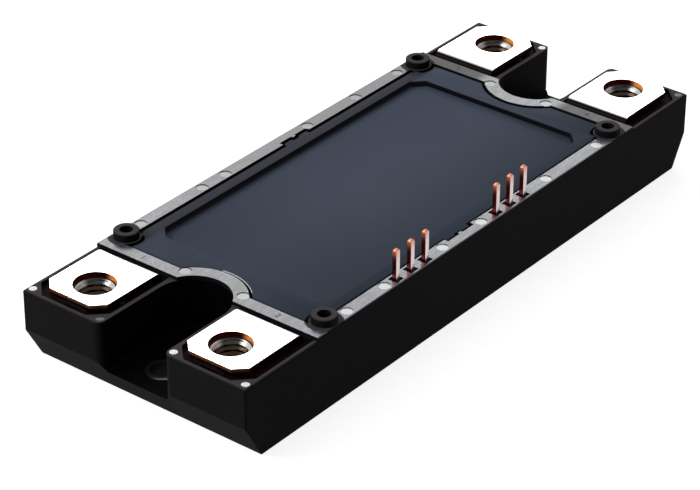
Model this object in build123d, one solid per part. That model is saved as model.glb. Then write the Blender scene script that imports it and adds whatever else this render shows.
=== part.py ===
from build123d import *
import os

# Silicon carbide half-bridge power module, millimetres, +Z up.
# The origin is the middle of the base plate's underside. +X runs along the module to the output end,
# and the six signal pins stand on the long side that faces -Y.

# Housing
housing_length = 152.0
housing_width = 57.4
heatsink_gap = 0.1            # housing underside above the base plate's underside
block_top = 17.0              # height of the four terminal blocks
rail_top = 17.8               # height of the smooth rail round the lid
rail_setback = 21.7           # from each end face to the raised rail
side_rail_width = 3.3
end_rail_width = 3.0
end_slope_height = 8.0
end_slope_depth = 4.5
corner_radius = 0.4
top_edge_chamfer = 0.3
rail_edge_radius = 0.3

# Slots for the mounting screws
slot_width = 16.4
slot_length = 26.0
slot_floor = 5.4
slot_floor_chamfer = 0.8
slot_mouth_radius = 1.8
slot_wall = 3.1

# Lid seat and cavity
ledge_width = 1.85
lid_gap = 0.6
lid_top = 17.6
lid_flange = 2.0
lid_panel = 1.8
recess_end_rim = 3.65         # lid rim between the slot's arc and the recess
recess_side_rim = 4.1
recess_depth = 1.4
recess_corner = 2.5
recess_slope = 0.7            # how far each recess wall leans in
recess_skirt = 1.6            # wall of the dish under the flange
skirt_clearance = 0.25
tab_length = 8.8
tab_reach = 1.0
tab_centre = 5.2
tab_notch = 1.0

# Standoffs for the driver board
standoff_end_inset = 2.6      # from the end of the lid opening in to the axis
standoff_side_offset = 0.3   # from the side of the lid opening out to the axis
standoff_radius = 2.7
standoff_top = 19.45
standoff_hole_radius = 1.42
standoff_hole_depth = 10.0
standoff_edge = 0.15
standoff_root = 0.4           # land between standoff and lid opening
standoff_inner_wall = 1.6

# Base plate
plate_end_setback = 14.5      # from each end face of the housing
plate_side_overlap = 1.85     # how far the plate reaches under the cavity's side walls
plate_thickness = 3.0
plate_corner = 2.0
plate_edge = 0.4
plate_clearance = 0.1

# Mounting bushings
bushing_setback = 9.0         # from each end face to the screw's axis
bushing_hole_radius = 2.75
bushing_radius = 3.7
bushing_clearance = 0.05

# Main terminals, bent copper sheet
terminal_hole_setback = 9.07  # from the end face to the hole's axis
terminal_hole_shift = 0.48    # from the middle of the plate towards the slot
terminal_hole_radius = 4.45
terminal_thickness = 1.2
terminal_top = 18.4
terminal_rail_gap = 0.9
terminal_end_margin = 2.3
terminal_slot_margin = 2.1
terminal_side_margin = 2.9
terminal_corner = 2.5
terminal_bend_radius = 1.4    # bend from plate to leg, at the middle of the sheet
terminal_leg_margin = 1.0
terminal_run_z = 9.6
terminal_strip_inset = 5.5    # from the long edge of the tiles to the middle of the strip
terminal_strip_width = 5.6
terminal_drop_inset = 1.25    # from the end of the row of tiles to the strip's drop
terminal_toe = 2.0
terminal_slot_clearance = 0.1

# Pocket and nut under each main terminal
pocket_rim = 1.0
pocket_floor = 16.1
pocket_corner = 3.4
nut_across_flats = 13.0
nut_height = 6.5
nut_bore_radius = 3.4
nut_clearance = 0.1
bolt_room_across_flats = 8.6
bolt_room_depth = 4.2

# Signal pins
pin_width = 1.2
pin_thickness = 1.1
pin_pitch = 4.75
pin_group_x = (-22.95, 10.65)
pins_in_group = 3
pin_side_inset = 1.7          # from the long side to the middle of the pins
pin_top = 24.8
pin_tip_chamfer = 0.4
pin_shelf_z = 8.0
pin_shelf_thickness = 2.5
pin_shelf_reach = 2.55
pin_foot_reach = 2.2
pin_clearance = 0.05
pin_pocket_length = 2.3
pin_pocket_width = 2.3
pin_pocket_depth = 0.5

# Round ejector marks in the rail
mark_radius = 1.35
mark_depth = 0.15
mark_sides = 16               # enough sides to look round at this size
side_mark_inset = 1.85
end_mark_inset = 2.85
end_mark_y = 7.55
left_mark_x = (-43.1, -24.0, -16.6, 10.7, 27.6, 42.6)       # on the side that faces +Y
right_mark_x = (-43.2, -31.2, -12.2, 0.95, 23.9, 42.7)      # on the side that faces -Y

# Ceramic tiles with their copper, and what is soldered on them
tile_count = 3
tile_gap = 2.0
tile_end_margin = 1.8        # from the row of tiles to the cavity's waist
tile_side_margin = 2.55
solder_thickness = 0.15
copper_thickness = 0.3
ceramic_thickness = 0.4
copper_margin = 0.45
track_gap = 0.6
gate_track_width = 1.2
gate_track_split = 1.0
upper_track_count = 2         # islands in the gate track of the upper switch
lower_track_count = 4
positive_band = 13.8          # from the tile's +Y edge to the inner edge of the positive area
negative_band = 8.0           # from the tile's -Y edge to the inner edge of the negative area
output_column_width = 3.0
die_thickness = 0.2
dies_in_row = 4
die_row_inset = 4.15          # from the tile's end to the first die of a row
die_gap = 0.8                 # between neighbours in a row
upper_die_inset = 8.4         # from the tile's +Y edge
lower_die_inset = 15.5        # from the tile's -Y edge
ribbon_width = 1.8
ribbon_thickness = 0.2
ribbon_rise = 1.3
ribbon_foot = 1.8
link_width = 4.0
link_thickness = 0.4
link_rise = 0.9
link_foot = 1.4
chip_length = 2.4
chip_width = 1.1
chip_height = 0.5
wire_width = 0.4
wire_rise = 1.6
gel_top = 12.0
gel_clearance = 0.1

# How far a cutter runs past the face it opens
overrun = 1.0

# Places worked out from the sizes above
half_length = housing_length / 2
half_width = housing_width / 2
rail_end = half_length - rail_setback
opening_x = rail_end - end_rail_width
opening_y = half_width - side_rail_width
cavity_wall_y = opening_y - ledge_width
slot_radius = slot_width / 2
slot_centre = half_length - slot_length + slot_radius
opening_waist = slot_centre - slot_radius - slot_wall
ledge_z = lid_top - lid_flange
recess_floor = lid_top - recess_depth
pan_bottom = recess_floor - lid_panel
recess_length = 2 * (opening_waist - recess_end_rim)
recess_width = 2 * (opening_y - recess_side_rim)
standoff_x = opening_x - standoff_end_inset
standoff_y = opening_y + standoff_side_offset
plate_length = 2 * (half_length - plate_end_setback)
plate_width = 2 * (cavity_wall_y + plate_side_overlap)
bushing_x = half_length - bushing_setback
tile_row_end = opening_waist - ledge_width - tile_end_margin
tile_length = (2 * tile_row_end - (tile_count - 1) * tile_gap) / tile_count
tile_width = 2 * (cavity_wall_y - tile_side_margin)
terminal_inner_x = rail_end + terminal_rail_gap
terminal_outer_x = half_length - terminal_end_margin
terminal_inner_y = slot_radius + terminal_slot_margin
terminal_outer_y = half_width - terminal_side_margin
terminal_hole_x = half_length - terminal_hole_setback
terminal_hole_y = (terminal_inner_y + terminal_outer_y) / 2 - terminal_hole_shift
terminal_strip_y = tile_width / 2 - terminal_strip_inset
terminal_drop_x = tile_row_end - terminal_drop_inset
terminal_bottom = terminal_top - terminal_thickness
nut_bottom = terminal_bottom - nut_height
solder_top = plate_thickness + solder_thickness
back_copper_top = solder_top + copper_thickness
ceramic_top = back_copper_top + ceramic_thickness
circuit_top = ceramic_top + copper_thickness
die_top = circuit_top + die_thickness
positive_pad_inner_y = tile_width / 2 - positive_band
negative_pad_inner_y = tile_width / 2 - negative_band
upper_die_y = tile_width / 2 - upper_die_inset
lower_die_y = lower_die_inset - tile_width / 2
pin_y = pin_side_inset - half_width
pin_xs = [
    centre + (place - (pins_in_group - 1) / 2) * pin_pitch
    for centre in pin_group_x
    for place in range(pins_in_group)
]
die_pitch = (tile_length - 2 * die_row_inset + die_gap) / dies_in_row
die_size = die_pitch - die_gap
tile_xs = [(place - (tile_count - 1) / 2) * (tile_length + tile_gap) for place in range(tile_count)]
die_xs = [
    x + (place - (dies_in_row - 1) / 2) * die_pitch
    for x in tile_xs
    for place in range(dies_in_row)
]
gate_inner_y = tile_width / 2 - copper_margin - gate_track_width
pad_outer_y = gate_inner_y - track_gap
pin_foot_end = -cavity_wall_y + pin_foot_reach
ends = (-1, 1)
sides = (1, -1)


def block(x_low, x_high, y_low, y_high, z_low, z_high):
    """A box between two corners."""
    size = (x_high - x_low, y_high - y_low, z_high - z_low)
    middle = ((x_low + x_high) / 2, (y_low + y_high) / 2, (z_low + z_high) / 2)
    return Pos(*middle) * Box(*size)


def prism(face, z_low, z_high):
    """A flat plan outline raised between two heights."""
    return extrude(Pos(0, 0, z_low) * face, z_high - z_low)


def plan_rectangle(x_low, x_high, y_low, y_high):
    """A rectangle between two corners."""
    middle = Pos((x_low + x_high) / 2, (y_low + y_high) / 2)
    return middle * Rectangle(x_high - x_low, y_high - y_low)


def hexagon(across_flats):
    """A hexagon with two flats that face the long sides."""
    return RegularPolygon(across_flats / 2, 6, major_radius=False)


def save(shape, name):
    """Write one node."""
    shape.label = name
    export_step(shape, "parts/" + name + ".step")


def opening_plan(inset):
    """Plan of the lid opening, moved inwards: a rectangle that goes round the slots and standoffs."""
    plan = Rectangle(2 * (opening_x - inset), 2 * (opening_y - inset))
    arc_radius = slot_radius + slot_wall + inset
    for end in ends:
        plan -= Pos(end * slot_centre, 0) * Circle(arc_radius)
    return plan


def lid_plan(inset):
    """The opening plan at the lid's own height, with standoff notches and the two side tabs."""
    plan = opening_plan(inset)
    notch_radius = standoff_radius + standoff_root + inset
    for end in ends:
        for side in sides:
            plan -= Pos(end * standoff_x, side * standoff_y) * Circle(notch_radius)
    for side in sides:
        reach = opening_y + tab_reach - inset
        tab = Pos(side * tab_centre, side * reach / 2) * Rectangle(tab_length - 2 * inset, reach)
        notch = Pos(side * tab_centre, side * reach) * Rectangle(tab_notch + 2 * inset, tab_reach)
        plan += tab - notch
    return plan


def cavity_plan(inset):
    """Plan of the room for the tiles, which leaves columns of plastic round the standoff holes."""
    plan = opening_plan(ledge_width + inset)
    column = standoff_hole_radius + standoff_inner_wall + inset
    for end in ends:
        for side in sides:
            plan -= Pos(end * standoff_x, side * standoff_y) * Circle(column)
    return plan


def pin_shelf(margin):
    """The shelf inside the long wall that carries the pins' feet."""
    return block(
        min(pin_xs) - pin_pitch / 2 - margin, max(pin_xs) + pin_pitch / 2 + margin,
        -cavity_wall_y - margin - overrun, -cavity_wall_y + pin_shelf_reach + margin,
        pin_shelf_z - pin_shelf_thickness - margin, pin_shelf_z + margin,
    )


def slot_cutter(end):
    """Room for a mounting screw, open at the end face and at the top."""
    run = half_length + slot_radius - slot_centre
    plan = Circle(slot_radius) + Pos(run / 2, 0) * Rectangle(run, slot_width)
    room = extrude(plan, rail_top + overrun - slot_floor)
    room = chamfer(room.edges().group_by(Axis.Z)[0], slot_floor_chamfer)
    room = Pos(slot_centre, 0, slot_floor) * room
    mouth_y = slot_radius + slot_mouth_radius
    mouth = plan_rectangle(half_length - slot_mouth_radius, half_length + overrun, -mouth_y, mouth_y)
    for side in sides:
        mouth -= Pos(half_length - slot_mouth_radius, side * mouth_y) * Circle(slot_mouth_radius)
    room += prism(mouth, slot_floor + slot_floor_chamfer, rail_top + overrun)
    return room if end > 0 else Rot(0, 0, 180) * room


def outer_form():
    """The moulded block with its sloped ends, rounded corners and raised middle."""
    outline = Polyline(
        (-half_length + end_slope_depth, heatsink_gap),
        (half_length - end_slope_depth, heatsink_gap),
        (half_length, end_slope_height),
        (half_length, block_top),
        (-half_length, block_top),
        (-half_length, end_slope_height),
        (-half_length + end_slope_depth, heatsink_gap),
    )
    side_face = make_face(Plane.XZ * outline)
    form = extrude(side_face, half_width, both=True)
    corners = RectangleRounded(housing_length, housing_width, corner_radius)
    form &= prism(corners, 0, block_top)
    form = chamfer(form.edges().group_by(Axis.Z)[-1], top_edge_chamfer)
    rail = block(-rail_end, rail_end, -half_width, half_width, ledge_z, rail_top)
    rail = fillet(rail.edges().filter_by(Axis.X).group_by(Axis.Z)[-1], rail_edge_radius)
    return form + rail


def place_terminal(shape, end, side):
    """Mirror what belongs to the +X +Y terminal to one of the four blocks."""
    if side < 0:
        shape = mirror(shape, Plane.XZ)
    if end < 0:
        shape = mirror(shape, Plane.YZ)
    return shape


def terminal_pocket(end, side):
    """Sunken floor under a main terminal, with the hexagon for its nut and room for the bolt."""
    y_low = slot_radius + pocket_rim
    plan = plan_rectangle(rail_end, half_length - pocket_rim, y_low, half_width - pocket_rim)
    plan = chamfer(plan.vertices().group_by(Axis.X)[-1], pocket_corner)
    plan -= Pos(slot_centre, 0) * Circle(slot_radius + pocket_rim)
    room = prism(plan, pocket_floor, rail_top + overrun)
    centre = Pos(terminal_hole_x, terminal_hole_y)
    room += prism(centre * hexagon(nut_across_flats + 2 * nut_clearance), nut_bottom, rail_top)
    bolt_room = centre * hexagon(bolt_room_across_flats)
    room += prism(bolt_room, nut_bottom - bolt_room_depth, rail_top)
    return place_terminal(room, end, side)


def terminal_slot(end, side):
    """Room in the moulding for a main terminal's leg and its inner run."""
    gap = terminal_slot_clearance
    leg_outer_x = terminal_inner_x + terminal_thickness + gap
    run_low = terminal_run_z - terminal_thickness / 2 - gap
    run_high = terminal_run_z + terminal_thickness / 2 + gap
    leg_low = terminal_inner_y + terminal_leg_margin - gap
    leg_high = terminal_outer_y - terminal_leg_margin + gap
    strip_low = terminal_strip_y - terminal_strip_width / 2 - gap
    strip_high = terminal_strip_y + terminal_strip_width / 2 + gap
    room = block(
        terminal_inner_x - gap, leg_outer_x, leg_low, leg_high, run_low, rail_top + overrun
    )
    room += block(terminal_drop_x, terminal_inner_x, strip_low, strip_high, run_low, run_high)
    return place_terminal(room, end, side)


def terminal_sheet(end, side):
    """A main terminal: a plate bent down into a leg, and an inner strip that drops to its foot."""
    half = terminal_thickness / 2
    path = FilletPolyline(
        (terminal_outer_x, 0, terminal_top - half),
        (terminal_inner_x + half, 0, terminal_top - half),
        (terminal_inner_x + half, 0, terminal_run_z - half),
        radius=terminal_bend_radius,
    )
    width = terminal_outer_y - terminal_inner_y
    middle_y = (terminal_outer_y + terminal_inner_y) / 2
    across = Plane(origin=path @ 0, x_dir=(0, 1, 0), z_dir=path % 0)
    sheet = Pos(0, middle_y, 0) * sweep(across * Rectangle(width, terminal_thickness), path)
    leg_low = terminal_inner_y + terminal_leg_margin
    leg_high = terminal_outer_y - terminal_leg_margin
    for low, high in (
        (terminal_inner_y - overrun, leg_low),
        (leg_high, terminal_outer_y + overrun),
    ):
        sheet -= block(rail_end, terminal_outer_x, low, high, 0, pocket_floor)
    sheet = chamfer(sheet.edges().filter_by(Axis.Z).group_by(Axis.X)[-1], terminal_corner)
    hole = Pos(terminal_hole_x, terminal_hole_y) * Circle(terminal_hole_radius)
    sheet -= prism(hole, terminal_bottom - overrun, terminal_top + overrun)
    strip = Polyline(
        (terminal_inner_x + half, terminal_run_z - half),
        (terminal_inner_x + half, terminal_run_z + half),
        (terminal_drop_x - half, terminal_run_z + half),
        (terminal_drop_x - half, circuit_top + terminal_thickness),
        (terminal_drop_x - terminal_toe, circuit_top + terminal_thickness),
        (terminal_drop_x - terminal_toe, circuit_top),
        (terminal_drop_x + half, circuit_top),
        (terminal_drop_x + half, terminal_run_z - half),
        (terminal_inner_x + half, terminal_run_z - half),
    )
    strip_face = Pos(0, terminal_strip_y, 0) * make_face(Plane.XZ * strip)
    sheet += extrude(strip_face, terminal_strip_width / 2, both=True)
    return place_terminal(sheet, end, side)


def signal_pin(x):
    """One bent pin: rounded tip, upright leg in the wall, and a bond foot on the inner shelf."""
    upright = block(
        x - pin_width / 2, x + pin_width / 2,
        pin_y - pin_thickness / 2, pin_y + pin_thickness / 2,
        pin_shelf_z, pin_top,
    )
    upright = chamfer(upright.edges().group_by(Axis.Z)[-1], pin_tip_chamfer)
    foot = block(
        x - pin_width / 2, x + pin_width / 2,
        pin_y, pin_foot_end,
        pin_shelf_z, pin_shelf_z + pin_thickness,
    )
    return upright + foot


def pin_room(x):
    """Passage for one pin through the wall, and the shallow pocket round it in the rail."""
    half = pin_width / 2 + pin_clearance
    deep = pin_thickness / 2 + pin_clearance
    room = block(x - half, x + half, pin_y - deep, pin_y + deep, pin_shelf_z, rail_top + overrun)
    foot_room_top = pin_shelf_z + pin_thickness + pin_clearance
    room += block(x - half, x + half, pin_y, overrun - cavity_wall_y, pin_shelf_z, foot_room_top)
    room += block(
        x - pin_pocket_length / 2, x + pin_pocket_length / 2,
        pin_y - pin_pocket_width / 2, pin_y + pin_pocket_width / 2,
        rail_top - pin_pocket_depth, rail_top + overrun,
    )
    return room


def rail_marks():
    """Centres of the round marks: a row along each long side and two on each end."""
    side_y = half_width - side_mark_inset
    end_x = rail_end - end_mark_inset
    marks = [(x, side_y) for x in left_mark_x]
    marks += [(x, -side_y) for x in right_mark_x]
    marks += [(end * end_x, side * end_mark_y) for end in ends for side in sides]
    return marks


def make_housing():
    """The moulded frame: end blocks, rail, lid seat, cavity, shelf, slots and passages."""
    frame = outer_form()
    frame -= prism(lid_plan(0), ledge_z, rail_top + overrun)
    frame -= prism(cavity_plan(0), plate_thickness, ledge_z)
    frame -= prism(skirt_plan(skirt_clearance), pan_bottom - skirt_clearance, ledge_z)
    room = RectangleRounded(
        plate_length + 2 * plate_clearance, plate_width + 2 * plate_clearance, plate_corner
    )
    frame -= prism(room, 0, plate_thickness)
    frame += pin_shelf(0)
    for end in ends:
        frame -= slot_cutter(end)
        bushing_room = Pos(end * bushing_x, 0) * Circle(bushing_radius + bushing_clearance)
        frame -= prism(bushing_room, 0, slot_floor + overrun)
        for side in sides:
            frame -= terminal_pocket(end, side)
            frame -= terminal_slot(end, side)
            axis = Pos(end * standoff_x, side * standoff_y)
            boss = prism(axis * Circle(standoff_radius), ledge_z, standoff_top)
            frame += chamfer(boss.edges().group_by(Axis.Z)[-1], standoff_edge)
            screw_hole = axis * Circle(standoff_hole_radius)
            frame -= prism(screw_hole, standoff_top - standoff_hole_depth, standoff_top + overrun)
    for x in pin_xs:
        frame -= pin_room(x)
    mark = prism(RegularPolygon(mark_radius, mark_sides), rail_top - mark_depth, rail_top + overrun)
    for x, y in rail_marks():
        frame -= Pos(x, y, 0) * mark
    return frame


def recess_plan(growth):
    """Plan of the lid's recess, grown or shrunk all round: a rectangle with its corners cut off."""
    plan = Rectangle(recess_length + 2 * growth, recess_width + 2 * growth)
    return chamfer(plan.vertices(), recess_corner)


def skirt_plan(margin):
    """Plan of the wall that hangs under the lid's flange round the recess."""
    return recess_plan(recess_skirt + margin)


def make_lid():
    """The dished cover: flange on the ledge, sloped recess walls and a lower panel."""
    lid = prism(lid_plan(lid_gap), ledge_z, lid_top)
    lid += prism(skirt_plan(0), pan_bottom, ledge_z)
    top_plan = Pos(0, 0, lid_top) * recess_plan(0)
    low_plan = Pos(0, 0, recess_floor) * recess_plan(-recess_slope)
    lid -= loft([low_plan.face(), top_plan.face()])
    return lid


def make_base_plate():
    """The copper plate that carries the tiles and meets the heatsink."""
    plan = RectangleRounded(plate_length, plate_width, plate_corner)
    plate = prism(plan, 0, plate_thickness)
    return chamfer(plate.edges().group_by(Axis.Z)[0], plate_edge)


def make_bushing(end):
    """A steel sleeve for the mounting screw, flush with the slot floor and the base plate."""
    ring = Circle(bushing_radius) - Circle(bushing_hole_radius)
    return prism(Pos(end * bushing_x, 0) * ring, 0, slot_floor)


def make_nut(end, side):
    """A hexagon nut that lies under a main terminal."""
    plan = hexagon(nut_across_flats) - Circle(nut_bore_radius)
    nut = prism(plan, nut_bottom, terminal_bottom)
    return Pos(end * terminal_hole_x, side * terminal_hole_y, 0) * nut


def island_length(count):
    """Length of one island where a gate track is split into equal islands."""
    whole = tile_length - 2 * copper_margin
    return (whole - (count - 1) * gate_track_split) / count


def island_centres(count):
    """Middles of a gate track's islands, from the tile's own centre."""
    pitch = island_length(count) + gate_track_split
    return [(place - (count - 1) / 2) * pitch for place in range(count)]


def tile_pads(tile):
    """Copper areas of one tile, as plan outlines round the tile's own centre."""
    half_x = tile_length / 2 - copper_margin
    last = tile == tile_count - 1
    side_pads_end = half_x - output_column_width - track_gap if last else half_x
    positive = plan_rectangle(-half_x, side_pads_end, positive_pad_inner_y, pad_outer_y)
    negative = plan_rectangle(-half_x, side_pads_end, -pad_outer_y, -negative_pad_inner_y)
    output = plan_rectangle(
        -half_x, half_x, track_gap - negative_pad_inner_y, positive_pad_inner_y - track_gap
    )
    if last:
        output += plan_rectangle(half_x - output_column_width, half_x, -pad_outer_y, pad_outer_y)
    pads = [positive, output, negative]
    track_y = gate_inner_y + gate_track_width / 2
    for side, count in ((1, upper_track_count), (-1, lower_track_count)):
        island = Rectangle(island_length(count), gate_track_width)
        pads += [Pos(x, side * track_y) * island for x in island_centres(count)]
    return pads


def die_row(first_place, y):
    """Dies of one kind: every second place of a row."""
    die = prism(Rectangle(die_size, die_size), circuit_top, die_top)
    return [Pos(x, y, 0) * die for x in die_xs[first_place::2]]


def arched_strip(points, width, thickness):
    """A flat strip that follows points in the XZ plane with its underside, centred on y = 0."""
    upper = [(x, z + thickness) for x, z in reversed(points)]
    outline = Polyline(*points, *upper, points[0])
    return extrude(make_face(Plane.XZ * outline), width / 2, both=True)


def ribbon(start_y, stop_y):
    """One aluminium ribbon from the top of a die to the next copper area, along -Y at x = 0."""
    span = start_y - stop_y
    crest = die_top + ribbon_rise
    half_foot = ribbon_foot / 2
    points = [
        (-half_foot, die_top),
        (half_foot, die_top),
        (half_foot + ribbon_rise, crest),
        (span - half_foot - ribbon_rise, crest),
        (span - half_foot, circuit_top),
        (span + half_foot, circuit_top),
    ]
    strip = arched_strip(points, ribbon_width, ribbon_thickness)
    return Pos(0, start_y, 0) * Rot(0, 0, -90) * strip


def ribbon_row(start_y, stop_y):
    """The same ribbon over every die of a row."""
    one = ribbon(start_y, stop_y)
    return [Pos(x, 0, 0) * one for x in die_xs]


def tile_links():
    """Copper bridges that carry the three main areas from tile to tile."""
    half_gap = tile_gap / 2 + copper_margin
    crest = circuit_top + link_rise
    points = [
        (-half_gap - link_foot, circuit_top),
        (-half_gap, circuit_top),
        (-half_gap + link_rise, crest),
        (half_gap - link_rise, crest),
        (half_gap, circuit_top),
        (half_gap + link_foot, circuit_top),
    ]
    one = arched_strip(points, link_width, link_thickness)
    rows = (
        (positive_pad_inner_y + pad_outer_y) / 2,
        (positive_pad_inner_y - negative_pad_inner_y) / 2,
        -(negative_pad_inner_y + pad_outer_y) / 2,
    )
    seams = [(tile_xs[place] + tile_xs[place + 1]) / 2 for place in range(tile_count - 1)]
    return [Pos(x, y, 0) * one for x in seams for y in rows]


def signal_wires():
    """A wire from each pin's foot over to one of the track islands nearest to its group."""
    start_y = pin_foot_end - pin_foot_reach / 2
    track_y = -gate_inner_y - gate_track_width / 2
    start_z = pin_shelf_z + pin_thickness
    crest = start_z + wire_rise
    islands = [x + place for x in tile_xs for place in island_centres(lower_track_count)]
    wires = []
    for group, centre in enumerate(pin_group_x):
        by_distance = sorted(islands, key=lambda place: abs(place - centre))
        near_islands = sorted(by_distance[:pins_in_group])
        group_pins = pin_xs[group * pins_in_group:(group + 1) * pins_in_group]
        for x, track_x in zip(group_pins, near_islands):
            path = Polyline(
                (x, start_y, start_z),
                (x, start_y, crest),
                (track_x, track_y, crest),
                (track_x, track_y, circuit_top),
            )
            section = Plane(origin=path @ 0, z_dir=path % 0) * Rectangle(wire_width, wire_width)
            wires.append(sweep(section, path, transition=Transition.RIGHT))
    return wires


def track_chip(tile, side):
    """A small chip across the split of a gate track."""
    x = tile_xs[tile]
    y = side * (gate_inner_y + gate_track_width / 2)
    return block(
        x - chip_length / 2, x + chip_length / 2,
        y - chip_width / 2, y + chip_width / 2,
        circuit_top, circuit_top + chip_height,
    )


nodes = {
    "housing": make_housing(),
    "lid": make_lid(),
    "base_plate": make_base_plate(),
    "mounting_bushing_near": make_bushing(-1),
    "mounting_bushing_far": make_bushing(1),
}
inner = {}

terminal_names = {
    (-1, 1): "positive",
    (-1, -1): "negative",
    (1, 1): "output_left",
    (1, -1): "output_right",
}
for (end, side), name in terminal_names.items():
    inner[name + "_terminal"] = [terminal_sheet(end, side)]
    nodes[name + "_nut"] = make_nut(end, side)
for number, x in enumerate(pin_xs, start=1):
    inner["signal_pin_" + str(number)] = [signal_pin(x)]

copper_area = Rectangle(tile_length - 2 * copper_margin, tile_width - 2 * copper_margin)
tile_area = Rectangle(tile_length, tile_width)
layers = (
    ("solder_sheets", copper_area, plate_thickness, solder_top),
    ("tile_back_copper", copper_area, solder_top, back_copper_top),
    ("ceramic_tiles", tile_area, back_copper_top, ceramic_top),
)
for name, area, low, high in layers:
    inner[name] = [Pos(x, 0, 0) * prism(area, low, high) for x in tile_xs]
inner["circuit_copper"] = [
    Pos(x, 0, 0) * prism(pad, ceramic_top, circuit_top)
    for tile, x in enumerate(tile_xs)
    for pad in tile_pads(tile)
]
inner["upper_mosfet_dies"] = die_row(0, upper_die_y)
inner["upper_diode_dies"] = die_row(1, upper_die_y)
inner["lower_mosfet_dies"] = die_row(0, lower_die_y)
inner["lower_diode_dies"] = die_row(1, lower_die_y)
inner["upper_ribbon_bonds"] = ribbon_row(upper_die_y, positive_pad_inner_y - track_gap - ribbon_foot)
inner["lower_ribbon_bonds"] = ribbon_row(lower_die_y, -negative_pad_inner_y - ribbon_foot)
inner["tile_links"] = tile_links()
inner["signal_wires"] = signal_wires()
inner["gate_resistors"] = [track_chip(tile, 1) for tile in range(tile_count)]
inner["gate_resistors"] += [track_chip(tile, -1) for tile in range(tile_count - 1)]
inner["thermistor"] = [track_chip(tile_count - 1, -1)]

# The gel is poured last, so it takes the room that the tiles and the pieces on them leave
gel = prism(cavity_plan(gel_clearance), plate_thickness, gel_top) - pin_shelf(gel_clearance)
gel -= [Pos(x, 0, 0) * prism(tile_area, plate_thickness, circuit_top) for x in tile_xs]
below_gel = ("solder_sheets", "tile_back_copper", "ceramic_tiles", "circuit_copper")
for name, solids in inner.items():
    if name not in below_gel:
        gel -= solids
nodes["silicone_gel"] = gel

for name, solids in inner.items():
    nodes[name] = solids[0] if len(solids) == 1 else Compound(children=solids)
os.makedirs("parts", exist_ok=True)
for name, shape in nodes.items():
    save(shape, name)
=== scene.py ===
import math

import bmesh
import bpy
from mathutils import Matrix, Vector


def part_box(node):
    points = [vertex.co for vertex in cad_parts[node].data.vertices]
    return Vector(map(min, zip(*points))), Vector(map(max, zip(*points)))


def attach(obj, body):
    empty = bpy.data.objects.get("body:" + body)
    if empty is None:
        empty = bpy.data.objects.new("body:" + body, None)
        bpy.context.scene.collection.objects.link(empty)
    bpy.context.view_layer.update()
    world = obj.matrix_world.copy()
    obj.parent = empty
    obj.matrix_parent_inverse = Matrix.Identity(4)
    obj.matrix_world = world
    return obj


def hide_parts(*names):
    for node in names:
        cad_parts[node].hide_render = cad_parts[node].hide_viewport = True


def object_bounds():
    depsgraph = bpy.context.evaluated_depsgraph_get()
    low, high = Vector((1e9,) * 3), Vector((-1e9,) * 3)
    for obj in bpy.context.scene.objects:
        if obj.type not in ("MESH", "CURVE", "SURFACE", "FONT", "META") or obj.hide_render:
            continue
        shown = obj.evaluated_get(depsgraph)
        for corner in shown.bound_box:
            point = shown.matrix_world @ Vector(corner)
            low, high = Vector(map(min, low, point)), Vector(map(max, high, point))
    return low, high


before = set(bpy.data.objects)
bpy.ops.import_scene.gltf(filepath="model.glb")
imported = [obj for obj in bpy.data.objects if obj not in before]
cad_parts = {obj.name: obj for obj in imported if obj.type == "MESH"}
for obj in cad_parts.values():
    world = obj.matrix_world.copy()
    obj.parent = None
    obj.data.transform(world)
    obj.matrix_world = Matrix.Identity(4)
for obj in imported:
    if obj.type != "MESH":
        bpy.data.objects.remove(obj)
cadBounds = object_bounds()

mm = 0.001
black = (0.0, 0.0, 0.0)
white = (1.0, 1.0, 1.0)
edgeSamples = 6
# plan directions, as x and y, that lie to the left and to the front in the photograph
photoLeft = (-0.62, 0.785)
photoFront = (-0.785, -0.62)
print("frame loaded:", len(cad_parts), "nodes")


# Shader maths: one class wraps a socket, and one builds a finish

class Signal:
    # one output socket; an expression written on it adds Math nodes
    def __init__(self, finish, socket):
        self.finish = finish
        self.socket = socket

    def __add__(self, other):
        return self.finish.math("ADD", self, other)

    def __radd__(self, other):
        return self.finish.math("ADD", other, self)

    def __sub__(self, other):
        return self.finish.math("SUBTRACT", self, other)

    def __rsub__(self, other):
        return self.finish.math("SUBTRACT", other, self)

    def __mul__(self, other):
        return self.finish.math("MULTIPLY", self, other)

    def __rmul__(self, other):
        return self.finish.math("MULTIPLY", other, self)

    def __gt__(self, other):
        return self.finish.math("GREATER_THAN", self, other)

    def __lt__(self, other):
        return self.finish.math("LESS_THAN", self, other)

    def __neg__(self):
        return self.finish.math("MULTIPLY", -1.0, self)

    def __abs__(self):
        return self.finish.math("ABSOLUTE", self, 0.0)


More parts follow.
